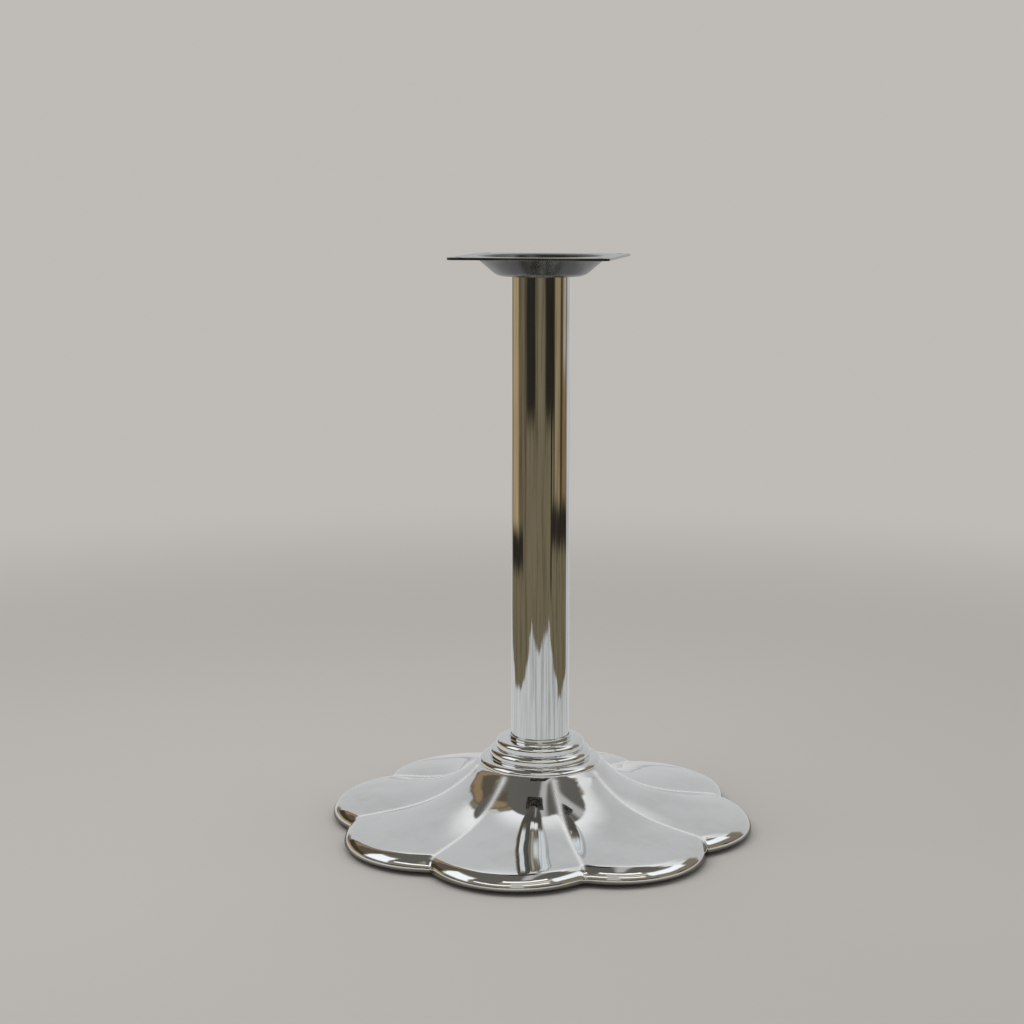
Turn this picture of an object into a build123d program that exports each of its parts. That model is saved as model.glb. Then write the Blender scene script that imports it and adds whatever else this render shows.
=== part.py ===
from build123d import *
import os
from math import atan2, cos, pi, radians, sin, sqrt, tan

# Driving dimensions in millimetres. The origin is on the floor, under the column's axis.
overall_height = 720.0
base_reach = 268.5
plate_side = 195.0
column_diameter = 73.0

# Fits between pieces
socket_clearance = 0.3
rod_clearance = 0.5
thread_clearance = 0.15
spigot_clearance = 0.4

# Petals of the cast base: each one is a round lobe, seen from above
petal_count = 8
lobe_radius = 118.5
crown_rise = 6.5
crown_fullness = 2.2
casting_wall = 6.0

# Rolled rim of the petals, from the floor up
floor_gap = 5.5
rim_height = 25.0
rim_widest_height = 8.0
rim_roll_width = 13.0
rim_tuck = 2.0
rim_land = 6.0
rim_draft = 2.0

# Flare that sweeps from the hub down to the petals
flare_foot_height = 83.5
flare_end_inset = 44.5
straight_fall = 17.3
flare_power = 3.6

# Stepped hub, from the foot ring up to the neck round the column
foot_ring_radius = 79.0
foot_ring_top_radius = 75.0
foot_ring_height = 91.2
middle_ring_radius = 63.5
middle_ring_top_radius = 61.0
middle_ring_height = 103.0
top_ring_radius = 55.5
top_ring_top_radius = 53.0
top_ring_height = 114.3
neck_radius = 39.0
neck_height = 119.6
ring_edge_round = 1.2

# Inside of the hub
socket_floor_height = 80.0
petal_overlap = 3.0
hub_skirt_inset = 1.0
hub_web = 10.0
rod_boss_radius = 20.0
rod_boss_drop = 6.0
hub_core_inner_radius = 45.0
hub_core_roof_height = 96.0
hub_core_outer_radius = 68.0

# Column and top plate
column_wall = 2.0
plate_thickness = 3.0
plate_corner_radius = 8.0
plate_hole_diameter = 8.5
plate_hole_inset = 12.5
dish_depth = 22.0
dish_mouth_radius = 79.0
dish_floor_radius = 53.0
dish_floor_bend = 20.0
dish_mouth_bend = 6.0
dish_flange = 8.0
spigot_depth = 4.0

# Tie rod with its nuts and washers
rod_diameter = 12.0
rod_end_length = 6.0
rod_end_chamfer = 1.0
washer_diameter = 32.0
washer_thickness = 2.5
spring_washer_diameter = 21.0
spring_washer_thickness = 2.5
spring_washer_slit = 2.0
rod_nut_flats = 19.0
rod_nut_height = 10.0
nut_chamfer = 0.8

# Levelling glides under every other petal
glide_count = 4
glide_inset = 46.5
glide_pad_diameter = 30.0
glide_pad_height = 6.0
glide_pad_edge_round = 1.5
glide_pad_socket = 3.0
glide_stud_diameter = 8.0
glide_stud_length = 18.0
glide_nut_flats = 13.0
glide_nut_height = 4.0
glide_boss_diameter = 20.0
glide_hole_spare = 2.0

# Sizes worked out from the ones above
half_petal = radians(180 / petal_count)
lobe_centre = base_reach - lobe_radius
flare_end_radius = base_reach - flare_end_inset
glide_radius = base_reach - glide_inset
column_radius = column_diameter / 2
bore_radius = column_radius - column_wall
socket_radius = column_radius + socket_clearance
dish_bottom = overall_height - plate_thickness - dish_depth
spigot_bottom = dish_bottom - spigot_depth
rod_hole_radius = rod_diameter / 2 + rod_clearance
web_bottom = socket_floor_height - hub_web
boss_bottom = web_bottom - rod_boss_drop
section_count = 7
face_points = 8
roll_points = 5
tuck_points = 4
wedge_start_radius = foot_ring_radius - petal_overlap
plate_hole_spacing = plate_side - 2 * plate_hole_inset
top_nut_seat = spigot_bottom + plate_thickness + washer_thickness + spring_washer_thickness
bottom_nut_seat = boss_bottom - washer_thickness - spring_washer_thickness
rod_top = top_nut_seat + rod_nut_height + rod_end_length
rod_bottom = bottom_nut_seat - rod_nut_height - rod_end_length
glide_turns = [2 * pi * number / glide_count for number in range(glide_count)]
glide_spots = [(glide_radius * cos(turn), glide_radius * sin(turn)) for turn in glide_turns]
glide_boss_bottom = glide_pad_height + glide_nut_height
ring_tops = [
    (foot_ring_top_radius, foot_ring_height),
    (middle_ring_top_radius, middle_ring_height),
    (top_ring_top_radius, top_ring_height),
    (neck_radius, neck_height),
]


def lobe_edge(inset, turn):
    """Distance from the column's axis to the petal's outline, moved in by inset."""
    across = lobe_centre * sin(turn)
    return lobe_centre * cos(turn) + sqrt((lobe_radius - inset) ** 2 - across**2)


def petal_height(radius, turn):
    """Height of the petal's top face, before its rim rolls over."""
    outward = (flare_end_radius - radius) / (flare_end_radius - foot_ring_radius)
    flare_rise = flare_foot_height - rim_height - straight_fall
    valley = rim_height + straight_fall * outward + flare_rise * max(outward, 0) ** flare_power
    along = (radius - wedge_start_radius) / (base_reach + rim_roll_width - wedge_start_radius)
    crown = crown_rise * sin(pi * along) * (1 - (abs(turn) / half_petal) ** crown_fullness)
    return valley + crown


glide_boss_top = petal_height(glide_radius, 0) - casting_wall / 2
glide_stud_bottom = glide_pad_height - glide_pad_socket
glide_hole_depth = glide_stud_bottom + glide_stud_length + glide_hole_spare - glide_boss_bottom


def shares(count):
    """Even steps from 0 to 1."""
    return [step / (count - 1) for step in range(count)]


def save(piece, name):
    """Labels a finished piece and writes its file."""
    piece.part.label = name
    export_step(piece.part, f"parts/{name}.step")


os.makedirs("parts", exist_ok=True)

# One petal's wedge, with its rolled rim and the hollow under it
with BuildPart() as petal:
    for share in shares(section_count):
        turn = half_petal * (2 * share - 1)
        shoulder = lobe_edge(rim_roll_width, turn)
        inner_foot = lobe_edge(rim_tuck + rim_land, turn)
        inner_top = lobe_edge(rim_tuck + rim_land + rim_draft, turn)
        top_face = []
        for step in shares(face_points):
            radius = wedge_start_radius + (shoulder - wedge_start_radius) * step
            top_face.append((radius, petal_height(radius, turn)))
        for step in shares(roll_points)[1:]:
            inset = rim_roll_width * (1 - sin(pi / 2 * step))
            radius = lobe_edge(inset, turn)
            rise = petal_height(radius, turn) - rim_widest_height
            top_face.append((radius, rim_widest_height + rise * cos(pi / 2 * step)))
        under_rim = []
        for step in shares(tuck_points):
            inset = rim_tuck * (1 - cos(pi / 2 * step))
            drop = (rim_widest_height - floor_gap) * sin(pi / 2 * step)
            under_rim.append((lobe_edge(inset, turn), rim_widest_height - drop))
        inner_face = []
        for step in shares(face_points):
            radius = wedge_start_radius + (inner_top - wedge_start_radius) * step
            inner_face.append((radius, petal_height(radius, turn) - casting_wall))
        inner_face.reverse()
        radial_plane = Plane((0, 0, 0), x_dir=(cos(turn), sin(turn), 0), z_dir=(sin(turn), -cos(turn), 0))
        with BuildSketch(radial_plane):
            with BuildLine():
                Spline(top_face)
                Spline(under_rim)
                Polyline(under_rim[-1], (inner_foot, floor_gap), inner_face[0])
                Spline(inner_face)
                Line(inner_face[-1], top_face[0])
            make_face()
    loft()

# Cast base: the petals joined round the stepped hub, with a boss for each glide
with BuildPart() as base_casting:
    with PolarLocations(0, petal_count):
        add(petal.part)
    with BuildSketch(Plane.XZ) as hub_section:
        with BuildLine():
            Polyline(
                (rod_hole_radius, boss_bottom),
                (rod_boss_radius, boss_bottom),
                (rod_boss_radius, web_bottom),
                (hub_core_inner_radius, web_bottom),
                (hub_core_inner_radius, hub_core_roof_height),
                (hub_core_outer_radius, flare_foot_height),
                (foot_ring_radius - hub_skirt_inset, flare_foot_height - casting_wall / 2),
                (foot_ring_radius, flare_foot_height),
            )
            TangentArc(
                (foot_ring_radius, flare_foot_height),
                (foot_ring_top_radius, foot_ring_height),
                tangent=(0, 1),
            )
            Line((foot_ring_top_radius, foot_ring_height), (middle_ring_radius, foot_ring_height))
            TangentArc(
                (middle_ring_radius, foot_ring_height),
                (middle_ring_top_radius, middle_ring_height),
                tangent=(0, 1),
            )
            Line((middle_ring_top_radius, middle_ring_height), (top_ring_radius, middle_ring_height))
            TangentArc(
                (top_ring_radius, middle_ring_height),
                (top_ring_top_radius, top_ring_height),
                tangent=(0, 1),
            )
            Polyline(
                (top_ring_top_radius, top_ring_height),
                (neck_radius, top_ring_height),
                (neck_radius, neck_height),
                (socket_radius, neck_height),
                (socket_radius, socket_floor_height),
                (rod_hole_radius, socket_floor_height),
                (rod_hole_radius, boss_bottom),
            )
        make_face()
        hub_corners = hub_section.vertices()
        fillet([hub_corners.sort_by_distance(corner)[0] for corner in ring_tops], ring_edge_round)
    revolve(axis=Axis.Z)
    for spot in glide_spots:
        with BuildSketch(Plane(origin=(*spot, glide_boss_bottom))):
            Circle(glide_boss_diameter / 2)
        extrude(amount=glide_boss_top - glide_boss_bottom)
        with BuildSketch(Plane(origin=(*spot, glide_boss_bottom))):
            Circle(glide_stud_diameter / 2 + thread_clearance)
        extrude(amount=glide_hole_depth, mode=Mode.SUBTRACT)
save(base_casting, "base_casting")

# Column tube, standing in the socket of the hub and reaching up to the dish
with BuildPart() as column_tube:
    with BuildSketch(Plane.XY.offset(socket_floor_height)):
        Circle(column_radius)
        Circle(bore_radius, mode=Mode.SUBTRACT)
    extrude(amount=dish_bottom - socket_floor_height)
save(column_tube, "column_tube")

# Top plate, a flat square of sheet with a dish pressed down in its middle
dish_slope = atan2(dish_depth, dish_mouth_radius - dish_floor_radius)
bend_shift = plate_thickness * tan(dish_slope / 2)
spigot_radius = bore_radius - spigot_clearance
plate_top = overall_height
plate_underside = overall_height - plate_thickness
flange_radius = dish_mouth_radius + dish_flange
dish_inside = dish_bottom + plate_thickness
spigot_inside = spigot_bottom + plate_thickness
with BuildPart() as top_plate:
    with BuildSketch(Plane.XY.offset(plate_underside)):
        RectangleRounded(plate_side, plate_side, plate_corner_radius)
        Circle(flange_radius, mode=Mode.SUBTRACT)
        with GridLocations(plate_hole_spacing, plate_hole_spacing, 2, 2):
            Circle(plate_hole_diameter / 2, mode=Mode.SUBTRACT)
    extrude(amount=plate_thickness)
    with BuildSketch(Plane.XZ) as dish_section:
        with BuildLine():
            Polyline(
                (rod_hole_radius, spigot_bottom),
                (spigot_radius, spigot_bottom),
                (spigot_radius, dish_bottom),
                (dish_floor_radius, dish_bottom),
                (dish_mouth_radius, plate_underside),
                (flange_radius, plate_underside),
                (flange_radius, plate_top),
                (dish_mouth_radius - bend_shift, plate_top),
                (dish_floor_radius - bend_shift, dish_inside),
                (spigot_radius - plate_thickness, dish_inside),
                (spigot_radius - plate_thickness, spigot_inside),
                (rod_hole_radius, spigot_inside),
                close=True,
            )
        make_face()
        bends = [
            ((dish_floor_radius, dish_bottom), dish_floor_bend),
            ((dish_floor_radius - bend_shift, dish_inside), dish_floor_bend - plate_thickness),
            ((dish_mouth_radius, plate_underside), dish_mouth_bend),
            ((dish_mouth_radius - bend_shift, plate_top), dish_mouth_bend + plate_thickness),
        ]
        for corner, bend in bends:
            fillet(dish_section.vertices().sort_by_distance(corner)[0], bend)
    revolve(axis=Axis.Z)
save(top_plate, "top_plate")

# Tie rod that pulls the plate, the column and the casting together
with BuildPart() as tie_rod:
    with BuildSketch(Plane.XY.offset(rod_bottom)):
        Circle(rod_diameter / 2)
    extrude(amount=rod_top - rod_bottom)
    rod_ends = tie_rod.edges().filter_by(GeomType.CIRCLE)
    chamfer(rod_ends, rod_end_chamfer)
save(tie_rod, "tie_rod")


def ring(bottom, height, outer_radius, inner_radius):
    """Flat washer round the rod."""
    with BuildPart() as washer:
        with BuildSketch(Plane.XY.offset(bottom)):
            Circle(outer_radius)
            Circle(inner_radius, mode=Mode.SUBTRACT)
        extrude(amount=height)
    return washer


def split_ring(bottom, height, outer_radius, inner_radius, slit):
    """Spring washer with its slanted slit."""
    with BuildPart() as washer:
        with BuildSketch(Plane.XY.offset(bottom)):
            Circle(outer_radius)
            Circle(inner_radius, mode=Mode.SUBTRACT)
        extrude(amount=height)
        with BuildSketch(Plane.YZ):
            with BuildLine():
                top = bottom + height
                Polyline((-slit, bottom), (0, bottom), (slit, top), (0, top), close=True)
            make_face()
        extrude(amount=2 * outer_radius, mode=Mode.SUBTRACT)
    return washer


def hex_nut(spot, bottom, height, flats, inner_radius):
    """Hexagonal nut with its corners turned off at both ends."""
    corner = flats / 2 / cos(pi / 6)
    with BuildPart() as nut:
        with BuildSketch(Plane(origin=(*spot, bottom))):
            RegularPolygon(corner, 6)
            Circle(inner_radius, mode=Mode.SUBTRACT)
        extrude(amount=height)
        turning_plane = Plane(origin=(*spot, bottom), x_dir=(1, 0, 0), z_dir=(0, -1, 0))
        with BuildSketch(turning_plane):
            with BuildLine():
                Polyline(
                    (0, 0),
                    (flats / 2, 0),
                    (corner, nut_chamfer),
                    (corner, height - nut_chamfer),
                    (flats / 2, height),
                    (0, height),
                    close=True,
                )
            make_face()
        revolve(axis=Axis((*spot, bottom), (0, 0, 1)), mode=Mode.INTERSECT)
    return nut


# Nut, spring washer and flat washer at each end of the tie rod
thread_radius = rod_diameter / 2 + thread_clearance
washer_radius = washer_diameter / 2
save(ring(spigot_inside, washer_thickness, washer_radius, thread_radius), "top_washer")
save(
    split_ring(
        spigot_inside + washer_thickness,
        spring_washer_thickness,
        spring_washer_diameter / 2,
        thread_radius,
        spring_washer_slit,
    ),
    "top_spring_washer",
)
save(hex_nut((0, 0), top_nut_seat, rod_nut_height, rod_nut_flats, thread_radius), "top_nut")
bottom_washer_base = boss_bottom - washer_thickness
save(ring(bottom_washer_base, washer_thickness, washer_radius, thread_radius), "bottom_washer")
save(
    split_ring(
        bottom_nut_seat,
        spring_washer_thickness,
        spring_washer_diameter / 2,
        thread_radius,
        spring_washer_slit,
    ),
    "bottom_spring_washer",
)
save(
    hex_nut((0, 0), bottom_nut_seat - rod_nut_height, rod_nut_height, rod_nut_flats, thread_radius),
    "bottom_nut",
)

# Levelling glides, each a soft pad on a stud with its lock nut
for number, spot in enumerate(glide_spots, start=1):
    with BuildPart() as glide_pad:
        with BuildSketch(Plane(origin=(*spot, 0))):
            Circle(glide_pad_diameter / 2)
        extrude(amount=glide_pad_height)
        pad_rims = glide_pad.edges().filter_by(GeomType.CIRCLE)
        fillet(pad_rims, glide_pad_edge_round)
        with BuildSketch(Plane(origin=(*spot, glide_pad_height))):
            Circle(glide_stud_diameter / 2 + thread_clearance)
        extrude(amount=-glide_pad_socket, mode=Mode.SUBTRACT)
    save(glide_pad, f"glide_pad_{number}")

    with BuildPart() as glide_stud:
        with BuildSketch(Plane(origin=(*spot, glide_stud_bottom))):
            Circle(glide_stud_diameter / 2)
        extrude(amount=glide_stud_length)
        stud_ends = glide_stud.edges().filter_by(GeomType.CIRCLE)
        chamfer(stud_ends, rod_end_chamfer / 2)
    save(glide_stud, f"glide_stud_{number}")

    stud_thread_radius = glide_stud_diameter / 2 + thread_clearance
    glide_nut = hex_nut(spot, glide_pad_height, glide_nut_height, glide_nut_flats, stud_thread_radius)
    save(glide_nut, f"glide_nut_{number}")
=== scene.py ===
from math import atan2, cos, exp, hypot, pi, radians, sin, sqrt, tan

import bmesh
import bpy
from mathutils import Matrix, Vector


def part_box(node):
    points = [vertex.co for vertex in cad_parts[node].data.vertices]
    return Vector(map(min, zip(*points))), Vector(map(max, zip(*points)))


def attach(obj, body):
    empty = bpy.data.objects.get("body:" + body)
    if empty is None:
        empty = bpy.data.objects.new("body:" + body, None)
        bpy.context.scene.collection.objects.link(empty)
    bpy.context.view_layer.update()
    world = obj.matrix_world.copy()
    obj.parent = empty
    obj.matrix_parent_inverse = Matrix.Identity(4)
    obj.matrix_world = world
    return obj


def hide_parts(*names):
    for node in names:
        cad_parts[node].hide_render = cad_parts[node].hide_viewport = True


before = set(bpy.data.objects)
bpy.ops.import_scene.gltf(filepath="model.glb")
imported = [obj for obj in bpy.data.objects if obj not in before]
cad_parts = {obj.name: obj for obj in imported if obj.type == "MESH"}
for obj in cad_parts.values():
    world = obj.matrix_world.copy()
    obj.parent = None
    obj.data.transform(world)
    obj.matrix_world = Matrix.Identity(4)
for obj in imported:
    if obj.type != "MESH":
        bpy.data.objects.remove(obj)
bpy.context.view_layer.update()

# Cast foot: one iron casting with eight round petals, a rolled rim and a stepped hub, plated
# with polished chrome. The column stands in its socket, and four threaded bosses under it
# take the glides. The seams between petals are rougher and painted paler, a painted highlight
# for the bright line their hollows reflect. The underside stays as rough as it was cast.
foot_low, foot_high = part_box("base_casting")
column_low, column_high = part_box("column_tube")
pad_low, pad_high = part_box("glide_pad_1")
nut_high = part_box("glide_nut_1")[1]
petal_count = 8
half_petal = pi / petal_count
foot_reach = foot_high.x
lobe_radius = 0.1185
lobe_centre = foot_reach - lobe_radius
rim_height = 0.025
rim_widest_height = 0.008
rim_roll_width = 0.013
rim_tuck = 0.002
rim_land = 0.006
rim_draft = 0.002
casting_wall = 0.006
crown_rise = 0.0065
crown_fullness = 2.2
flare_foot_height = 0.0835
flare_end_radius = foot_reach - 0.0445
straight_fall = 0.0173
flare_power = 3.6
foot_ring_radius = 0.079
flare_start_radius = foot_ring_radius - 0.003
ring_shoulder = 0.0035
seam_hollow = 0.0032
seam_width = 0.0024
seam_widening = 0.0026
seam_widening_reach = 0.05
seam_steps = 22
seam_crowding = 2.2
corner_steps = 5
neck_radius = 0.039
socket_clearance = 0.0003
socket_floor_height = column_low.z
# Each hub ring: radius and height of its top edge and of its bottom edge, and its upright share
top_ring = ((0.053, 0.1143), (0.0555, 0.103), 0.45)
middle_ring = ((0.061, 0.103), (0.0635, 0.0912), 0.45)
foot_ring = ((0.0728, 0.0912), (foot_ring_radius - 0.002, flare_foot_height), 0.15)
# Under the hub, from the ring's skirt to the boss of the tie rod: radius, height and rounding
hub_core = [
    (0.0765, 0.0805, 0.002),
    (0.068, flare_foot_height, 0.002),
    (0.045, 0.096, 0.003),
    (0.045, 0.070, 0.0015),
    (0.020, 0.070, 0.0015),
    (0.020, 0.064, 0.0008),
    (0.0065, 0.064, 0.0005),
    (0.0065, socket_floor_height, 0.0005),
]


def lobe_edge(inset, turn):
    """Distance from the column's axis to a petal's outline, moved in by inset."""
    across = lobe_centre * sin(turn)
    return lobe_centre * cos(turn) + sqrt((lobe_radius - inset) ** 2 - across**2)


def petal_height(radius, turn):
    """Height of a petal's top face before its rim rolls over."""
    outward = (flare_end_radius - radius) / (flare_end_radius - foot_ring_radius)
    flare_rise = flare_foot_height - rim_height - straight_fall
    valley = rim_height + straight_fall * outward + flare_rise * max(outward, 0) ** flare_power
    along = (radius - flare_start_radius) / (foot_reach + rim_roll_width - flare_start_radius)
    return valley + crown_rise * sin(pi * along) * (1 - (abs(turn) / half_petal) ** crown_fullness)


def seam_turn(turn, radius):
    """Angle off the petal's middle, with the sharp seam opened into a small round hollow."""
    from_seam = 1 - abs(turn) / half_petal
    hollow = seam_hollow / (radius * half_petal)
    return half_petal * (1 - (hypot(from_seam, hollow) - hollow) / (hypot(1, hollow) - hollow))


def ring_wall(bottom, top, upright, steps=12):
    """Points down a hub ring's round shoulder, as far as the upright part of its wall."""
    start = bottom[1] + upright * (top[1] - bottom[1])
    width, rise = bottom[0] - top[0] + ring_shoulder, top[1] - start
    angles = [pi / 2 * (1 - step / steps) for step in range(steps + 1)]
    return [(bottom[0] - width * (1 - cos(angle)), start + rise * sin(angle), 0) for angle in angles]


def foot_underside(turn, soft):
    """Inner half of the foot's section, from the rim's land to the hole for the tie rod."""
    inner_top = lobe_edge(rim_tuck + rim_land + rim_draft, soft)
    outline = [(lobe_edge(rim_tuck + rim_land, soft), foot_low.z, 0.0008)]
    outline.append((inner_top, petal_height(inner_top, soft) - casting_wall, 0.003))
    under_steps = 16
    for step in range(1, under_steps):
        radius = inner_top + (foot_ring_radius - inner_top) * (step / under_steps) ** 0.8
        outline.append((radius, petal_height(radius, seam_turn(turn, radius)) - casting_wall, 0))
    return outline + hub_core


def foot_outline(bearing):
    """Closed section of the foot at a bearing: radius, height and how far each corner is rounded."""
    turn = (bearing + half_petal) % (2 * half_petal) - half_petal
    shoulder = lobe_edge(rim_roll_width, seam_turn(turn, flare_end_radius))
    socket = column_high.x + socket_clearance
    outline = [
        (socket, socket_floor_height, 0.001),
        (socket, foot_high.z, 0.0006),
        (neck_radius, foot_high.z, 0.0012),
        (neck_radius, top_ring[0][1], 0.001),
    ]
    for high, low, upright in (top_ring, middle_ring, foot_ring):
        outline.extend(ring_wall(low, high, upright))
        outline.append((*low, 0.001))
    flare_steps = 26
    for step in range(1, flare_steps + 1):
        share = (step / flare_steps) ** 1.25
        radius = foot_ring_radius + (shoulder - foot_ring_radius) * share
        outline.append((radius, petal_height(radius, seam_turn(turn, radius)), 0))
    roll_steps = 16
    for step in range(1, roll_steps + 1):
        angle = pi / 2 * step / roll_steps
        soft = seam_turn(turn, shoulder)
        radius = lobe_edge(rim_roll_width * (1 - sin(angle)), soft)
        rise = petal_height(radius, soft) - rim_widest_height
        outline.append((radius, rim_widest_height + rise * cos(angle), 0))
    tuck_steps = 8
    for step in range(1, tuck_steps + 1):
        angle = pi / 2 * step / tuck_steps
        radius = lobe_edge(rim_tuck * (1 - cos(angle)), seam_turn(turn, shoulder))
        drop = (rim_widest_height - foot_low.z) * sin(angle)
        outline.append((radius, rim_widest_height - drop, 0))
    return outline + foot_underside(turn, seam_turn(turn, shoulder))


def rounded(outline):
    """Points of a closed outline with its corners rounded, each with the direction of the outline there."""
    points = []
    for index, (radius, height, corner_round) in enumerate(outline):
        before, after = outline[index - 1], outline[(index + 1) % len(outline)]
        run_in = (radius - before[0], height - before[1])
        run_out = (after[0] - radius, after[1] - height)
        length_in, length_out = hypot(*run_in), hypot(*run_out)
        way_in = (run_in[0] / length_in, run_in[1] / length_in)
        way_out = (run_out[0] / length_out, run_out[1] / length_out)
        if corner_round == 0:
            way = [a * length_out + b * length_in for a, b in zip(way_in, way_out)]
            size = hypot(*way)
            points.append((radius, height, way[0] / size, way[1] / size))
            continue
        cross = way_in[0] * way_out[1] - way_in[1] * way_out[0]
        bend = atan2(cross, way_in[0] * way_out[0] + way_in[1] * way_out[1])
        side = 1 if bend > 0 else -1
        reach = min(corner_round * tan(abs(bend) / 2), 0.45 * length_in, 0.45 * length_out)
        arc = reach / tan(abs(bend) / 2)
        start = (radius - way_in[0] * reach, height - way_in[1] * reach)
        centre = (start[0] - side * arc * way_in[1], start[1] + side * arc * way_in[0])
        for step in range(corner_steps):
            angle = bend * step / (corner_steps - 1)
            way = (
                way_in[0] * cos(angle) - way_in[1] * sin(angle),
                way_in[0] * sin(angle) + way_in[1] * cos(angle),
            )
            points.append((centre[0] + side * arc * way[1], centre[1] - side * arc * way[0], *way))
    return points


def swept(outline_at, bearings, spot=(0, 0), closed=True):
    """Corners, faces and normals of a closed outline swept about an upright axis at spot."""
    step = 1e-4
    corners, normals, faces = [], [], []
    for bearing in bearings:
        middle, more, less = (rounded(outline_at(bearing + turn)) for turn in (0, step, -step))
        for (radius, height, out, up), ahead, behind in zip(middle, more, less):
            radius_change = (ahead[0] - behind[0]) / (2 * step)
            height_change = (ahead[1] - behind[1]) / (2 * step)
            sideways = out * height_change - up * radius_change
            corners.append((spot[0] + radius * cos(bearing), spot[1] + radius * sin(bearing), height))
            normal = (
                -up * radius * cos(bearing) + sideways * sin(bearing),
                -up * radius * sin(bearing) - sideways * cos(bearing),
                out * radius,
            )
            size = sqrt(sum(part**2 for part in normal)) or 1
            normals.append(tuple(part / size for part in normal))
    count = len(middle)
    for column in range(len(bearings) - (not closed)):
        here, beyond = column * count, (column + 1) % len(bearings) * count
        for index in range(count):
            following = (index + 1) % count
            faces.append((here + index, here + following, beyond + following, beyond + index))
    if not closed:
        faces.append(tuple(reversed(range(count))))
        faces.append(tuple(range(len(corners) - count, len(corners))))
    return corners, faces, normals


def even_bearings(count):
    """Bearings spaced evenly round a circle."""
    return [2 * pi * step / count for step in range(count)]


def new_piece(name, mesh):
    """Mesh as a piece that rides with the base."""
    piece = bpy.data.objects.new(name, mesh)
    bpy.context.scene.collection.objects.link(piece)
    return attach(piece, "root")


def mirror_piece(name, corners, faces, normals):
    """Piece with the given corner normals, so that a mirror finish reflects without facets."""
    mesh = bpy.data.meshes.new(name)
    mesh.from_pydata(corners, [], faces)
    mesh.shade_smooth()
    mesh.normals_split_custom_set_from_vertices(normals)
    return new_piece(name, mesh)


def foot_bearings():
    """Bearings round the foot, closer together near the seams."""
    halves = [half_petal * (1 - (step / seam_steps) ** seam_crowding) for step in range(seam_steps + 1)]
    turns = [-half for half in halves] + list(reversed(halves[1:-1]))
    return [2 * half_petal * petal + turn for petal in range(petal_count) for turn in turns]


def boss_outline(bearing):
    """Section of a threaded boss under a petal, which takes a glide's stud."""
    glide_radius = (pad_low.x + pad_high.x) / 2
    boss_top = petal_height(glide_radius, 0) - casting_wall / 2
    stud_hole, boss_radius = 0.00415, 0.010
    return [
        (stud_hole, nut_high.z, 0.0004),
        (stud_hole, boss_top, 0.0002),
        (boss_radius, boss_top, 0.0005),
        (boss_radius, nut_high.z, 0.0008),
    ]


glide_names = ["1", "2", "3", "4"]
glide_spots = []
for number in glide_names:
    low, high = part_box("glide_pad_" + number)
    glide_spots.append(((low.x + high.x) / 2, (low.y + high.y) / 2))

foot_corners, foot_faces, foot_normals = swept(foot_outline, foot_bearings())
section_size = len(rounded(foot_outline(0)))
underside_size = sum(corner_steps if corner[2] else 1 for corner in foot_underside(0, 0))
unpolished_share, seam_share = [], []
for index, (x, y, z) in enumerate(foot_corners):
    unpolished_share.append(float(index % section_size >= section_size - underside_size))
    radius = hypot(x, y)
    turn = (atan2(y, x) + half_petal) % (2 * half_petal) - half_petal
    from_seam = (half_petal - abs(turn)) * radius
    widened = seam_width + seam_widening * exp(-(radius - foot_ring_radius) / seam_widening_reach)
    on_top = radius > foot_ring_radius and z > petal_height(radius, turn) - casting_wall / 2
    seam_share.append(exp(-((from_seam / widened) ** 2)) if on_top else 0)
for spot in glide_spots:
    boss_corners, boss_faces, boss_normals = swept(boss_outline, even_bearings(32), spot)
    foot_faces += [tuple(len(foot_corners) + corner for corner in face) for face in boss_faces]
    foot_corners += boss_corners
    foot_normals += boss_normals
    seam_share += [0] * len(boss_corners)
    unpolished_share += [1.0] * len(boss_corners)
foot = mirror_piece("cast_foot", foot_corners, foot_faces, foot_normals)
foot.data.attributes.new("seam", "FLOAT", "POINT").data.foreach_set("value", seam_share)
foot.data.attributes.new("as_cast", "FLOAT", "POINT").data.foreach_set("value", unpolished_share)
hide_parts("base_casting")


def add_node(tree, kind, feeds, **settings):
    """New shader node, with its settings and with a value or a link for each socket in feeds."""
    made = tree.nodes.new("ShaderNode" + kind)
    for setting, value in settings.items():
        setattr(made, setting, value)
    for socket, source in feeds.items():
        if isinstance(source, bpy.types.NodeSocket):
            tree.links.new(source, made.inputs[socket])
        else:
            made.inputs[socket].default_value = source
    return made


def maths(tree, operation, *terms):
    """Result of a maths node."""
    return add_node(tree, "Math", dict(enumerate(terms)), operation=operation).outputs[0]


def eased(tree, value, none, full):
    """A value turned into a share that eases from 0 at none to 1 at full."""
    feeds = {"Value": value, "From Min": none, "From Max": full}
    return add_node(tree, "MapRange", feeds, interpolation_type="SMOOTHSTEP").outputs[0]


def mixed(tree, share, first, second):
    """Colour between two, by a share of the second."""
    return add_node(tree, "Mix", {0: share, 6: first, 7: second}, data_type="RGBA").outputs[2]


def new_material(name):
    """Material with its node tree and its shader."""
    material = bpy.data.materials.new(name)
    material.use_nodes = True
    return material, material.node_tree, material.node_tree.nodes["Principled BSDF"]


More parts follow.
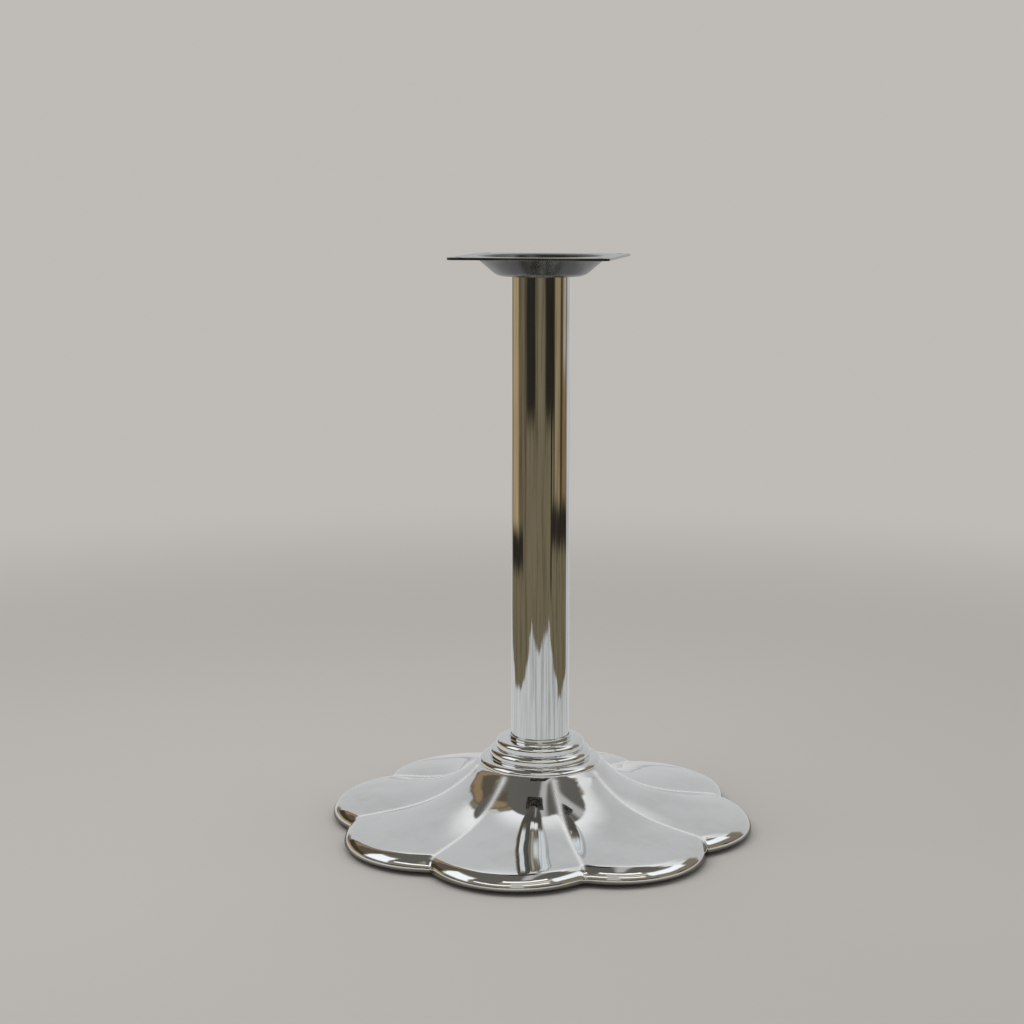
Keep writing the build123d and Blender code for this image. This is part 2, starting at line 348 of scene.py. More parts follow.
def plating_group():
    """Shader group for polished plating: haze from wiping, hairlines, and the ripple of hand polishing."""
    tree = bpy.data.node_groups.new("polished_plating", "ShaderNodeTree")
    tree.interface.new_socket("Place", in_out="INPUT", socket_type="NodeSocketVector")
    tree.interface.new_socket("Haze Scale", in_out="INPUT", socket_type="NodeSocketFloat")
    tree.interface.new_socket("Ripple Scale", in_out="INPUT", socket_type="NodeSocketFloat")
    tree.interface.new_socket("Haze", in_out="OUTPUT", socket_type="NodeSocketFloat")
    tree.interface.new_socket("Ripple", in_out="OUTPUT", socket_type="NodeSocketFloat")
    given = tree.nodes.new("NodeGroupInput").outputs
    cloud = {"Vector": given["Place"], "Scale": given["Haze Scale"], "Detail": 7, "Roughness": 0.62}
    clouds = add_node(tree, "TexNoise", cloud).outputs["Fac"]
    lines = {"Vector": given["Place"], "Scale": 700, "Detail": 2, "Distortion": 1.5}
    hairlines = eased(tree, add_node(tree, "TexNoise", lines).outputs["Fac"], 0.62, 0.72)
    haze = maths(tree, "ADD", eased(tree, clouds, 0.42, 0.72), maths(tree, "MULTIPLY", hairlines, 0.35))
    swell = {"Vector": given["Place"], "Scale": given["Ripple Scale"], "Detail": 1.5, "Roughness": 0.4}
    ripple = add_node(tree, "TexNoise", swell).outputs["Fac"]
    out = tree.nodes.new("NodeGroupOutput")
    tree.links.new(haze, out.inputs["Haze"])
    tree.links.new(ripple, out.inputs["Ripple"])
    return tree


polished_plating = plating_group()


def plated(name, haze_scale, ripple_scale, ripple_height, stretch, dull):
    """Polished chrome over metal. Where the piece has a seam attribute, the seam is rougher and painted
    paler, as a painted highlight.
    """
    material, tree, shader = new_material(name)
    place = add_node(tree, "TexCoord", {}).outputs["Object"]
    drawn = add_node(tree, "Mapping", {"Vector": place, "Scale": stretch}).outputs["Vector"]
    wear = add_node(tree, "Group", {}, node_tree=polished_plating)
    tree.links.new(drawn, wear.inputs["Place"])
    wear.inputs["Haze Scale"].default_value = haze_scale
    wear.inputs["Ripple Scale"].default_value = ripple_scale
    seam = add_node(tree, "Attribute", {}, attribute_name="seam").outputs["Fac"]
    # The seam colour is paler and less metallic than the chrome: a painted highlight for the bright line the
    # seam hollows reflect.
    bright, pale_seam_highlight = (0.70, 0.71, 0.71, 1), (0.86, 0.86, 0.85, 1)
    colour = mixed(tree, wear.outputs["Haze"], bright, dull)
    tree.links.new(mixed(tree, seam, colour, pale_seam_highlight), shader.inputs["Base Color"])
    haze = {"Value": wear.outputs["Haze"], "To Min": 0.025, "To Max": 0.075}
    roughness = add_node(tree, "MapRange", haze).outputs[0]
    roughness = maths(tree, "ADD", roughness, maths(tree, "MULTIPLY", seam, 0.25))
    tree.links.new(roughness, shader.inputs["Roughness"])
    bump = {"Height": wear.outputs["Ripple"], "Distance": ripple_height, "Strength": 1.0}
    tree.links.new(add_node(tree, "Bump", bump).outputs["Normal"], shader.inputs["Normal"])
    polished = maths(tree, "SUBTRACT", 1, maths(tree, "MULTIPLY", seam, 0.6))
    tree.links.new(polished, shader.inputs["Metallic"])
    return material


def sand_cast(material):
    """Leaves the plating dull and sandy where the foot keeps its skin from the mould."""
    tree = material.node_tree
    finish = tree.nodes["Principled BSDF"].inputs
    place = add_node(tree, "TexCoord", {}).outputs["Object"]
    cast = add_node(tree, "Attribute", {}, attribute_name="as_cast").outputs["Fac"]
    sand = add_node(tree, "TexNoise", {"Vector": place, "Scale": 520, "Detail": 5}).outputs["Fac"]
    stain = add_node(tree, "TexNoise", {"Vector": place, "Scale": 26, "Detail": 6}).outputs["Fac"]
    grey = mixed(tree, eased(tree, stain, 0.36, 0.64), (0.185, 0.181, 0.173, 1), (0.255, 0.25, 0.24, 1))
    tree.links.new(mixed(tree, cast, finish["Base Color"].links[0].from_socket, grey), finish["Base Color"])
    dull = maths(tree, "MULTIPLY", cast, add_node(tree, "MapRange", {0: sand, 3: 0.38, 4: 0.58}).outputs[0])
    tree.links.new(maths(tree, "ADD", finish["Roughness"].links[0].from_socket, dull), finish["Roughness"])
    bump = {"Height": maths(tree, "MULTIPLY", sand, cast), "Distance": 0.0006, "Strength": 1.0}
    bump["Normal"] = finish["Normal"].links[0].from_socket
    tree.links.new(add_node(tree, "Bump", bump).outputs["Normal"], finish["Normal"])
    return material


foot_dull = (0.62, 0.625, 0.62, 1)
foot_chrome = plated("casting_chrome", 11, 16, 0.0006, (1, 1, 1), foot_dull)
foot.data.materials.append(sand_cast(foot_chrome))

# Levelling glides: a black nylon pad moulded on a zinc-plated stud, one under every other petal.
# The stud screws up into the casting's boss, and a thin nut locks it there.


def plain_piece(name, corners, faces, crease=35.0):
    """Piece with its doubled corners joined, shaded smooth except at its creases."""
    shape = bmesh.new()
    points = [shape.verts.new(corner) for corner in corners]
    for face in faces:
        shape.faces.new([points[corner] for corner in face])
    bmesh.ops.remove_doubles(shape, verts=shape.verts, dist=1e-6)
    unused = [edge for edge in shape.edges if not edge.link_faces]
    bmesh.ops.delete(shape, geom=unused, context="EDGES")
    bmesh.ops.recalc_face_normals(shape, faces=shape.faces)
    mesh = bpy.data.meshes.new(name)
    shape.to_mesh(mesh)
    shape.free()
    mesh.shade_smooth()
    mesh.set_sharp_from_angle(angle=radians(crease))
    return new_piece(name, mesh)


def capped(ring, centre, reverse):
    """Flat end for a ring of corner numbers, as a fan round a centre corner."""
    pairs = list(zip(ring, ring[1:] + ring[:1]))
    return [(centre, second, first) if reverse else (centre, first, second) for first, second in pairs]


def threaded_bar(spot, bottom, top, radius, pitch, threads, chamfer=0.001):
    """Bar with a rolled thread cut into it wherever a height lies in one of the thread spans."""
    segments, depth = 40, 0.58 * pitch
    heights = []
    for low, high in threads:
        rows = int(round((high - low) / pitch * 8))
        heights += [low + (high - low) * row / rows for row in range(rows + 1)]
    heights = sorted(set(heights) | {bottom, bottom + chamfer, top - chamfer, top})
    corners, faces = [], []
    for height in heights:
        for bearing in even_bearings(segments):
            cut = 0
            for low, high in threads:
                if low <= height <= high:
                    phase = (height / pitch - bearing / (2 * pi)) % 1
                    run_in = (height - low) / pitch if low > bottom else 1
                    run_out = (high - height) / pitch if high < top else 1
                    groove = 1.15 - 2.3 * abs(phase - 0.5)
                    cut = depth * min(1, max(0, groove)) * min(1, run_in, run_out)
            end = min(height - bottom, top - height)
            reach = min(radius - cut, radius - chamfer + end)
            corners.append((spot[0] + reach * cos(bearing), spot[1] + reach * sin(bearing), height))
    for row in range(len(heights) - 1):
        for segment in range(segments):
            here, beyond = row * segments + segment, row * segments + (segment + 1) % segments
            faces.append((here, beyond, beyond + segments, here + segments))
    last = (len(heights) - 1) * segments
    corners += [(*spot, bottom), (*spot, top)]
    faces += capped(list(range(segments)), len(corners) - 2, True)
    faces += capped(list(range(last, last + segments)), len(corners) - 1, False)
    return corners, faces


def flat_sided(bearing, sides, flat_distance, corner_round):
    """Distance from the middle of a flat-sided shape to its edge, with its corners rounded."""
    half = pi / sides
    turn = abs((bearing + half) % (2 * half) - half)
    if turn <= atan2((flat_distance - corner_round) * tan(half), flat_distance):
        return flat_distance / cos(turn)
    corner = (flat_distance - corner_round) / cos(half)
    return corner * cos(half - turn) + sqrt(corner_round**2 - (corner * sin(half - turn)) ** 2)


def corner_bearings(sides, even, fine=9, spread=0.09):
    """Even bearings, with more of them round each corner of a flat-sided shape."""
    bearings = set(even_bearings(even))
    for side in range(sides):
        corner = (2 * side + 1) * pi / sides
        bearings |= {corner + spread * (2 * step / (fine - 1) - 1) for step in range(fine)}
    return sorted(bearing % (2 * pi) for bearing in bearings)


def hex_nut(spot, low, high, flats, bore, pitch):
    """Hexagon nut, chamfered round both faces, with a countersunk bore."""
    face_radius, lead = 0.475 * flats, 0.45 * pitch

    def outline_at(bearing):
        edge = flat_sided(bearing, 6, flats / 2, 0.0006)
        drop = (edge - face_radius) * tan(radians(30))
        return [
            (bore, low + lead, 0),
            (bore, high - lead, 0),
            (bore + lead, high, 0),
            (face_radius, high, 0.0002),
            (edge, high - drop, 0.00015),
            (edge, low + drop, 0.00015),
            (face_radius, low, 0.0002),
            (bore + lead, low, 0),
        ]

    return swept(outline_at, corner_bearings(6, 36), spot)


collar_width = 0.0035
collar_height = 0.0012
pad_slope = 0.0016
pad_side_bottom = 0.0022
pad_recess_inset = 0.0052
pad_recess_depth = 0.0004
stud_pitch = 0.00125
pads, studs_and_nuts = [], []
for number, spot in zip(glide_names, glide_spots):
    low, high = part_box("glide_pad_" + number)
    stud_low, stud_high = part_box("glide_stud_" + number)
    lock_low, lock_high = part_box("glide_nut_" + number)
    pad_radius, stud_radius = (high.x - low.x) / 2, (stud_high.x - stud_low.x) / 2
    pad_outline = [
        (1e-7, low.z + pad_recess_depth, 0),
        (1e-7, stud_low.z, 0),
        (stud_radius, stud_low.z, 0.0002),
        (stud_radius, high.z - 0.0002, 0.0002),
        (stud_radius + collar_width, high.z, 0.0006),
        (stud_radius + 1.2 * collar_width, high.z - collar_height, 0.0006),
        (pad_radius - pad_slope, high.z - pad_slope, 0.0012),
        (pad_radius, low.z + pad_side_bottom, 0.001),
        (pad_radius - 0.0008, low.z, 0.0007),
        (pad_radius - 0.0045, low.z, 0.0003),
        (pad_radius - pad_recess_inset, low.z + pad_recess_depth, 0.0003),
    ]
    pad = swept(lambda bearing: pad_outline, even_bearings(56), spot)[:2]
    pad = plain_piece("nylon_pad_" + number, *pad)
    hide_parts("glide_pad_" + number)
    thread = [(high.z, stud_high.z)]
    stud = threaded_bar(spot, stud_low.z, stud_high.z, stud_radius, stud_pitch, thread, 0.0007)
    stud = plain_piece("threaded_stud_" + number, *stud)
    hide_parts("glide_stud_" + number)
    lock_flats = lock_high.y - lock_low.y
    lock_nut = hex_nut(spot, lock_low.z, lock_high.z, lock_flats, stud_radius + 0.0001, stud_pitch)
    lock_nut = plain_piece("lock_nut_" + number, *lock_nut[:2])
    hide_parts("glide_nut_" + number)
    pads.append(pad)
    studs_and_nuts += [stud, lock_nut]


def zinc_plating(name):
    """Bright zinc on steel: a cool satin metal, clouded, with darker grain where it has weathered."""
    material, tree, shader = new_material(name)
    place = add_node(tree, "TexCoord", {}).outputs["Object"]
    cloud = add_node(tree, "TexNoise", {"Vector": place, "Scale": 90, "Detail": 5}).outputs["Fac"]
    grain = add_node(tree, "TexNoise", {"Vector": place, "Scale": 1400, "Detail": 2}).outputs["Fac"]
    bright, dull = (0.60, 0.61, 0.63, 1), (0.40, 0.405, 0.42, 1)
    tree.links.new(mixed(tree, eased(tree, cloud, 0.4, 0.65), bright, dull), shader.inputs["Base Color"])
    spread = add_node(tree, "MapRange", {"Value": grain, "To Min": 0.24, "To Max": 0.42}).outputs[0]
    tree.links.new(spread, shader.inputs["Roughness"])
    bump = add_node(tree, "Bump", {"Height": grain, "Distance": 0.00003, "Strength": 1.0})
    tree.links.new(bump.outputs["Normal"], shader.inputs["Normal"])
    shader.inputs["Metallic"].default_value = 1
    return material


def nylon(name):
    """Black moulded nylon, with a fine spark-eroded grain and paler rub marks."""
    material, tree, shader = new_material(name)
    place = add_node(tree, "TexCoord", {}).outputs["Object"]
    grain = add_node(tree, "TexNoise", {"Vector": place, "Scale": 1800, "Detail": 3}).outputs["Fac"]
    rub = add_node(tree, "TexNoise", {"Vector": place, "Scale": 120, "Detail": 6}).outputs["Fac"]
    rub = eased(tree, rub, 0.55, 0.75)
    colour = mixed(tree, rub, (0.018, 0.018, 0.019, 1), (0.05, 0.05, 0.05, 1))
    tree.links.new(colour, shader.inputs["Base Color"])
    spread = add_node(tree, "MapRange", {"Value": rub, "To Min": 0.42, "To Max": 0.62}).outputs[0]
    tree.links.new(spread, shader.inputs["Roughness"])
    bump = add_node(tree, "Bump", {"Height": grain, "Distance": 0.00004, "Strength": 1.0})
    tree.links.new(bump.outputs["Normal"], shader.inputs["Normal"])
    return material


fastener_zinc = zinc_plating("fastener_zinc")
pad_nylon = nylon("pad_nylon")
for piece in pads:
    piece.data.materials.append(pad_nylon)
for piece in studs_and_nuts:
    piece.data.materials.append(fastener_zinc)

# Column: a round steel tube, polished and chromed, cut square with its edges broken. It stands
# in the hub's socket and carries the top plate.
column_wall = 0.002
broken_edge = 0.0004
column_bore = column_high.x - column_wall
column_outline = [
    (column_high.x, column_low.z, broken_edge),
    (column_bore, column_low.z, broken_edge),
    (column_bore, column_high.z, broken_edge),
    (column_high.x, column_high.z, broken_edge),
]
column = mirror_piece("column", *swept(lambda bearing: column_outline, even_bearings(160)))
streak_dull = (0.40, 0.405, 0.40, 1)
column.data.materials.append(plated("column_chrome", 330, 26, 0.0001, (1, 1, 0.02), streak_dull))
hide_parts("column_tube")

# Top plate: a square of 3 mm steel, pressed down into a round dish whose floor sits on the
# column, with a short spigot inside the tube. Four holes take the screws into the table top.
plate_low, plate_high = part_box("top_plate")
plate_thickness = 0.003
plate_half = plate_high.x
plate_corner_round = 0.008
dish_mouth, dish_floor = 0.079, 0.053
dish_bottom = column_high.z
dish_slope = atan2(plate_high.z - plate_thickness - dish_bottom, dish_mouth - dish_floor)
bend_shift = plate_thickness * tan(dish_slope / 2)
spigot_radius = 0.0341
rod_hole = 0.0065
hole_inset, hole_radius = 0.0125, 0.00425
dish_crease = 24


def plate_outline(bearing):
    """Section of the plate at a bearing, from the rod's hole out to the square edge."""
    edge = flat_sided(bearing, 4, plate_half, plate_corner_round)
    top, under = plate_high.z, plate_high.z - plate_thickness
    return [
        (rod_hole, plate_low.z, 0.0003),
        (rod_hole, plate_low.z + plate_thickness, 0.0003),
        (spigot_radius - plate_thickness, plate_low.z + plate_thickness, 0.0008),
        (spigot_radius - plate_thickness, dish_bottom + plate_thickness, 0.0012),
        (dish_floor - bend_shift, dish_bottom + plate_thickness, 0.017),
        (dish_mouth - bend_shift, top, 0.009),
        (plate_half - 0.002, top, 0),
        (edge, top, 0.0005),
        (edge, under, 0.0005),
        (plate_half - 0.002, under, 0),
        (dish_mouth, under, 0.006),
        (dish_floor, dish_bottom, 0.020),
        (spigot_radius, dish_bottom, 0.0005),
        (spigot_radius, plate_low.z, 0.0010),
    ]


plate_bearings = corner_bearings(4, 192, 17, 0.062)
plate = plain_piece("pressed_plate", *swept(plate_outline, plate_bearings)[:2], crease=dish_crease)
cutter_shape = bmesh.new()
for side_x in (-1, 1):
    for side_y in (-1, 1):
        spot = (side_x * (plate_half - hole_inset), side_y * (plate_half - hole_inset), plate_high.z)
        bmesh.ops.create_cone(
            cutter_shape,
            cap_ends=True,
            segments=40,
            radius1=hole_radius,
            radius2=hole_radius,
            depth=0.02,
            matrix=Matrix.Translation(spot),
        )
cutter_mesh = bpy.data.meshes.new("hole_cutter")
cutter_shape.to_mesh(cutter_mesh)
cutter_shape.free()
cutter = bpy.data.objects.new("hole_cutter", cutter_mesh)
bpy.context.scene.collection.objects.link(cutter)
cut = plate.modifiers.new("holes", "BOOLEAN")
cut.object = cutter
cut.operation = "DIFFERENCE"
cut.solver = "EXACT"
bpy.context.view_layer.update()
drilled = bpy.data.meshes.new_from_object(plate.evaluated_get(bpy.context.evaluated_depsgraph_get()))
plate.modifiers.clear()
plate.data = drilled
drilled.set_sharp_from_angle(angle=radians(dish_crease))
bpy.data.objects.remove(cutter)
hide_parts("top_plate")


def pressed_steel(name):
    """Dark oiled steel, as it comes off the press: grey-black and satin, with rolling grain and rub marks."""
    material, tree, shader = new_material(name)
    place = add_node(tree, "TexCoord", {}).outputs["Object"]
    rolled = add_node(tree, "Mapping", {"Vector": place, "Scale": (1, 0.06, 1)}).outputs["Vector"]
    grain = add_node(tree, "TexNoise", {"Vector": rolled, "Scale": 900, "Detail": 4}).outputs["Fac"]
    cloud = add_node(tree, "TexNoise", {"Vector": place, "Scale": 28, "Detail": 6}).outputs["Fac"]
    scratch = {"Vector": place, "Scale": 260, "Detail": 3, "Distortion": 2.0}
    scratch = eased(tree, add_node(tree, "TexNoise", scratch).outputs["Fac"], 0.66, 0.74)
    colour = mixed(tree, eased(tree, cloud, 0.35, 0.65), (0.085, 0.087, 0.083, 1), (0.15, 0.15, 0.142, 1))
    colour = mixed(tree, maths(tree, "MULTIPLY", scratch, 0.4), colour, (0.26, 0.26, 0.25, 1))
    tree.links.new(colour, shader.inputs["Base Color"])
    spread = add_node(tree, "MapRange", {"Value": cloud, "To Min": 0.12, "To Max": 0.26}).outputs[0]
    tree.links.new(spread, shader.inputs["Roughness"])
    bump = add_node(tree, "Bump", {"Height": grain, "Distance": 0.000007, "Strength": 1.0})
    tree.links.new(bump.outputs["Normal"], shader.inputs["Normal"])
    shader.inputs["Metallic"].default_value = 1
    return material


plate.data.materials.append(pressed_steel("pressed_steel"))

# Tie rod: a steel rod threaded at both ends, which runs down inside the column and clamps the
# plate, the column and the foot together, with a nut, a spring washer and a washer at each end.
rod_low, rod_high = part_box("tie_rod")
rod_radius = rod_high.x
rod_pitch = 0.00175
rod_thread = 0.045
thread_spans = [(rod_low.z, rod_low.z + rod_thread), (rod_high.z - rod_thread, rod_high.z)]
rod = threaded_bar((0, 0), rod_low.z, rod_high.z, rod_radius, rod_pitch, thread_spans)
clamp_pieces = [(plain_piece("threaded_rod", *rod), "tie_rod")]
for place in ("top", "bottom"):
    low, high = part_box(place + "_washer")
    flat_outline = [
        (rod_radius + 0.0005, low.z, 0.0001),
        (rod_radius + 0.0005, high.z, 0.0002),
        (high.x, high.z, 0.0005),
        (high.x, low.z, 0.0002),
    ]
    washer = swept(lambda bearing: flat_outline, even_bearings(72))[:2]
    clamp_pieces.append((plain_piece("flat_ring_" + place, *washer), place + "_washer"))
    low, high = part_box(place + "_spring_washer")
    split = 0.0021 / high.x
    sprung_outline = [
        (rod_radius + 0.0003, low.z, 0.0002),
        (rod_radius + 0.0003, high.z, 0.0002),
        (high.y, high.z, 0.0004),
        (high.y, low.z, 0.0004),
    ]
    turns = [split / 2 + (2 * pi - split) * step / 64 for step in range(65)]
    spring = swept(lambda bearing: sprung_outline, turns, closed=False)[:2]
    clamp_pieces.append((plain_piece("split_ring_" + place, *spring), place + "_spring_washer"))
    low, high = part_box(place + "_nut")
    nut = hex_nut((0, 0), low.z, high.z, high.y - low.y, rod_radius + 0.00015, rod_pitch)
    clamp_pieces.append((plain_piece("clamp_nut_" + place, *nut[:2]), place + "_nut"))
for piece, node in clamp_pieces:
    piece.data.materials.append(fastener_zinc)
    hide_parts(node)

# Studio: a plain pale floor that runs into the background, two soft lamps in front and one above.
# The chrome mirrors a sheet of white paper under the foot, and past it the brown room.
camera_distance = 2.3771
camera_height = 0.7982
camera_azimuth = radians(10.1)
camera_pan = radians(0.858)
camera_tilt = radians(9.44)
background_colour = (0.52, 0.50, 0.475, 1)
floor_mesh = bpy.data.meshes.new("floor")
floor_mesh.from_pydata([(-20, -20, 0), (20, -20, 0), (20, 20, 0), (-20, 20, 0)], [], [(0, 1, 2, 3)])
floor = bpy.data.objects.new("floor", floor_mesh)
bpy.context.scene.collection.objects.link(floor)


def facing(tree, vector):
    """A direction or place, turned so that the camera's side of the column is at -y."""
    feeds = {"Vector": vector, "Angle": -camera_azimuth}
    turned_vector = add_node(tree, "VectorRotate", feeds, rotation_type="Z_AXIS").outputs["Vector"]
    return add_node(tree, "SeparateXYZ", {"Vector": turned_vector}).outputs


def floor_material():
    """Pale floor that ends, in reflections only, at the edge of the white paper. In reflections only, it also
    has a painted shadow round the foot.
    """
    material = bpy.data.materials.new("floor")
    material.use_nodes = True
    tree = material.node_tree
    tree.nodes.remove(tree.nodes["Principled BSDF"])
    rays = add_node(tree, "LightPath", {}).outputs
    place = add_node(tree, "NewGeometry", {}).outputs["Position"]
    across, deep, _ = facing(tree, place)
    wave = add_node(tree, "TexNoise", {"Vector": place, "Scale": 2.5, "Detail": 3}).outputs["Fac"]
    wave = maths(tree, "MULTIPLY", maths(tree, "SUBTRACT", wave, 0.5), 0.35)
    beyond_side = eased(tree, maths(tree, "ADD", maths(tree, "ABSOLUTE", across), wave), 0.68, 0.74)
    beyond_front = eased(tree, maths(tree, "ADD", deep, wave), -0.98, -1.06)
    beyond = maths(tree, "MULTIPLY", maths(tree, "MAXIMUM", beyond_side, beyond_front), rays["Is Glossy Ray"])
    distance = maths(tree, "ADD", maths(tree, "POWER", across, 2), maths(tree, "POWER", deep, 2))
    distance = maths(tree, "SQRT", distance)
    # In reflections only, the paper within a few centimetres of the foot is painted dark brown: a painted
    # contact shadow.
    painted_contact_shadow, paper = (0.19, 0.165, 0.13, 1), (0.76, 0.765, 0.77, 1)
    mirrored = mixed(tree, eased(tree, distance, 0.27, 0.34), painted_contact_shadow, paper)
    ground = mixed(tree, rays["Is Glossy Ray"], background_colour, mirrored)
    lit = add_node(tree, "BsdfDiffuse", {"Color": ground}).outputs[0]
    far = maths(tree, "MULTIPLY", eased(tree, distance, 0.9, 2.6), rays["Is Camera Ray"])
    plain = add_node(tree, "Emission", {"Color": background_colour}).outputs[0]
    faded = add_node(tree, "MixShader", {0: far, 1: lit, 2: plain}).outputs[0]
    clear = add_node(tree, "BsdfTransparent", {}).outputs[0]
    final = add_node(tree, "MixShader", {0: beyond, 1: faded, 2: clear}).outputs[0]
    tree.links.new(final, tree.nodes["Material Output"].inputs["Surface"])
    return material


floor_mesh.materials.append(floor_material())


def paint_room():
    """World: plain pale to the eye, and the studio and brown room to the chrome."""
    world = bpy.data.worlds.new("studio")
    bpy.context.scene.world = world
    world.use_nodes = True
    tree = world.node_tree
    direction = add_node(tree, "TexCoord", {}).outputs["Generated"]
    across, deep, up = facing(tree, direction)
    around = maths(tree, "ARCTAN2", across, maths(tree, "MULTIPLY", deep, -1))
    height = maths(tree, "ARCSINE", up)
    broad = add_node(tree, "TexNoise", {"Vector": direction, "Scale": 2.2, "Detail": 3}).outputs["Fac"]
    fine = add_node(tree, "TexNoise", {"Vector": direction, "Scale": 9, "Detail": 4}).outputs["Fac"]
    broad_shift = maths(tree, "MULTIPLY", maths(tree, "SUBTRACT", broad, 0.5), 0.2)
    fine_shift = maths(tree, "MULTIPLY", maths(tree, "SUBTRACT", fine, 0.5), 0.1)
    level = maths(tree, "ADD", height, maths(tree, "MULTIPLY", fine_shift, 0.15))
    around = maths(tree, "ADD", maths(tree, "ADD", around, broad_shift), fine_shift)
    height = maths(tree, "SUBTRACT", height, maths(tree, "MULTIPLY", broad_shift, 0.5))
    height = maths(tree, "ADD", height, fine_shift)

    def patch(left, right, low, high, soft=3.0, rise=height):
        """Share of a patch of the room between two bearings and two heights, in degrees."""
        edges = [(around, left, soft), (around, right, -soft), (rise, low, soft), (rise, high, -soft)]
        share = 1.0
        for value, edge, ease in edges:
            step = eased(tree, value, radians(edge - ease), radians(edge + ease))
            share = maths(tree, "MULTIPLY", share, step)
        return share

    tan_wall, brown, olive = (0.36, 0.25, 0.145, 1), (0.23, 0.185, 0.12, 1), (0.18, 0.155, 0.095, 1)
    black, grey = (0.03, 0.026, 0.02, 1), (0.645, 0.65, 0.655, 1)
    white, bright_tan = (1.25, 1.3, 1.34, 1), (0.50, 0.37, 0.20, 1)
    high_window, middle_window = (1.6, 1.6, 1.56, 1), (1.2, 1.2, 1.15, 1)
    low_window, amber = (1.5, 1.48, 1.4, 1), (0.34, 0.27, 0.155, 1)
    umber, sienna = (0.08, 0.05, 0.02, 1), (0.25, 0.18, 0.095, 1)
    # Upright strips of the room, by bearing from the camera's side, which the column stretches
    strips = add_node(tree, "ValToRGB", {0: maths(tree, "ADD", maths(tree, "DIVIDE", around, 2 * pi), 0.5)})
    stops = [
        (-142, brown),
        (-132, bright_tan),
        (-100, bright_tan),
        (-92, (0.15, 0.12, 0.075, 1)),
        (-70, (0.20, 0.16, 0.105, 1)),
        (-62, (0.11, 0.09, 0.06, 1)),
        (-52, black),
        (-26, black),
        (-20, olive),
        (-2, brown),
        (14, olive),
        (20, black),
        (53, black),
        (58, amber),
        (77, amber),
        (83, umber),
        (89, umber),
        (95, sienna),
        (116, sienna),
    ]
    ramp = strips.color_ramp
    while len(ramp.elements) < len(stops):
        ramp.elements.new(0.5)
    for element, (bearing, colour) in zip(ramp.elements, stops):
        element.position = bearing / 360 + 0.5
        element.color = colour
    # The far edge of the ground, and the dark skirting above it
    left_side, right_side = eased(tree, around, -1.04, -1.14), eased(tree, around, 0.86, 0.96)
    beside = maths(tree, "MAXIMUM", left_side, right_side)
    lowered = maths(tree, "ADD", level, maths(tree, "MULTIPLY", beside, radians(3.4)))
    ground_line = eased(tree, lowered, radians(-7.4), radians(-6.2))
    room = mixed(tree, ground_line, (0.205, 0.172, 0.105, 1), strips.outputs[0])
    room = mixed(tree, patch(-140, -74, -11.2, -10.0, 0.35, level), room, black)
    room = mixed(tree, patch(46, 122, -10.5, -9.2, 0.35, level), room, black)
    room = mixed(tree, patch(39, 46, -11.9, -6.0, 0.6, level), room, black)
    room = mixed(tree, patch(97, 112, -5.2, -1.5, 0.7, level), room, (0.46, 0.45, 0.43, 1))
    # Walls, shelves and windows higher up, which the rims and the flare show
    room = mixed(tree, eased(tree, height, radians(3), radians(9)), room, (0.27, 0.235, 0.175, 1))
    room = mixed(tree, patch(-142, -99, 6, 23), room, (0.065, 0.05, 0.03, 1))
    room = mixed(tree, patch(-140, -102, 21, 63), room, (0.13, 0.108, 0.082, 1))
    room = mixed(tree, patch(-138, -127, 24, 60), room, tan_wall)
    room = mixed(tree, patch(-175, -141, 14, 50, 2), room, grey)
    room = mixed(tree, patch(-76, 42, 28, 46, 5), room, (0.34, 0.30, 0.24, 1))
    room = mixed(tree, patch(-104, 110, 52, 90), room, (0.15, 0.14, 0.122, 1))
    room = mixed(tree, patch(101, 126, 36, 57), room, (0.95, 0.96, 0.96, 1))
    room = mixed(tree, patch(-97, -60, 13, 46), room, white)
    room = mixed(tree, patch(48, 103, 24, 46), room, white)
    room = mixed(tree, patch(-60, -24, 28, 62), room, (0.15, 0.145, 0.13, 1))
    room = mixed(tree, patch(-22, 46, 47, 54.5, 1.5), room, high_window)
    room = mixed(tree, patch(8, 46, 35, 39, 1.5), room, middle_window)
    room = mixed(tree, patch(-52, 42, 21, 28, 1.5), room, low_window)
    room = mixed(tree, patch(-8, 8, 4, 44, 2), room, (0.62, 0.60, 0.54, 1))
    # The pale wall behind the base, and the roof with its skylight
    behind_left = eased(tree, around, radians(-146), radians(-152))
    behind_right = eased(tree, around, radians(118), radians(126))
    behind = maths(tree, "MAXIMUM", behind_left, behind_right)
    far_wall = mixed(tree, eased(tree, height, radians(38), radians(61)), grey, (1.08, 1.09, 1.09, 1))
    room = mixed(tree, behind, room, far_wall)
    skylight = maths(tree, "MULTIPLY", eased(tree, across, 0.02, 0.1), eased(tree, across, 0.24, 0.15))
    roof = mixed(tree, skylight, (0.15, 0.143, 0.128, 1), (0.58, 0.58, 0.56, 1))
    over = eased(tree, height, radians(60.5), radians(63.5))
    room = mixed(tree, over, room, roof)
    rays = add_node(tree, "LightPath", {}).outputs
    plain = mixed(tree, rays["Is Camera Ray"], (0.56, 0.56, 0.56, 1), background_colour)
    shown = mixed(tree, rays["Is Glossy Ray"], plain, room)
    tree.links.new(shown, tree.nodes["Background"].inputs["Color"])


paint_room()


def soft_lamp(name, around, height, distance, size, watts):
    """Soft lamp, left out of the mirrors, that points at the foot from a direction off the camera's side."""
    lamp = bpy.data.lights.new(name, "AREA")
    lamp.shape = "RECTANGLE"
    lamp.size, lamp.size_y = size
    lamp.energy = watts
    piece = bpy.data.objects.new(name, lamp)
    turn = radians(around) + camera_azimuth
    rise = radians(height)
    piece.location = (
        distance * cos(rise) * sin(turn),
        -distance * cos(rise) * cos(turn),
        distance * sin(rise),
    )
    piece.rotation_euler = (pi / 2 - rise, 0, turn)
    piece.visible_glossy = False
    bpy.context.scene.collection.objects.link(piece)


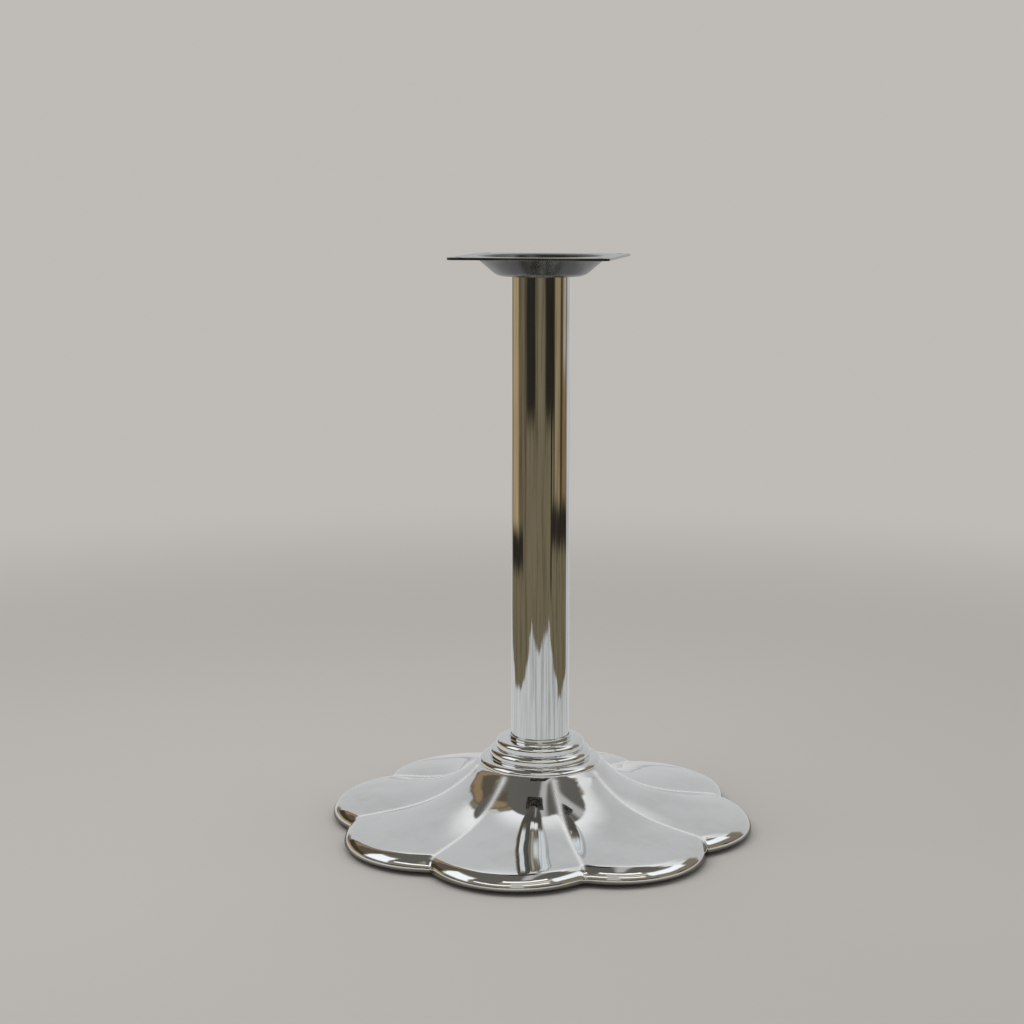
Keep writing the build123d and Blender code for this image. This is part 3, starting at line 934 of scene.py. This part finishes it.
soft_lamp("left_lamp", -70, 55, 2.1, (1.6, 0.7), 8.5)
soft_lamp("right_lamp", 88, 57, 2.2, (1.1, 0.5), 3.0)
soft_lamp("top_lamp", 180, 80, 2.3, (1.5, 1.5), 11)

camera = bpy.data.objects.new("camera", bpy.data.cameras.new("camera"))
camera.location = (
    camera_distance * sin(camera_azimuth),
    -camera_distance * cos(camera_azimuth),
    camera_height,
)
camera.rotation_euler = (pi / 2 - camera_tilt, 0, camera_azimuth + camera_pan)
camera.data.lens = 68.0
camera.data.sensor_width = 36
bpy.context.scene.collection.objects.link(camera)
bpy.context.scene.camera = camera

bpy.context.scene.view_settings.view_transform = "Standard"
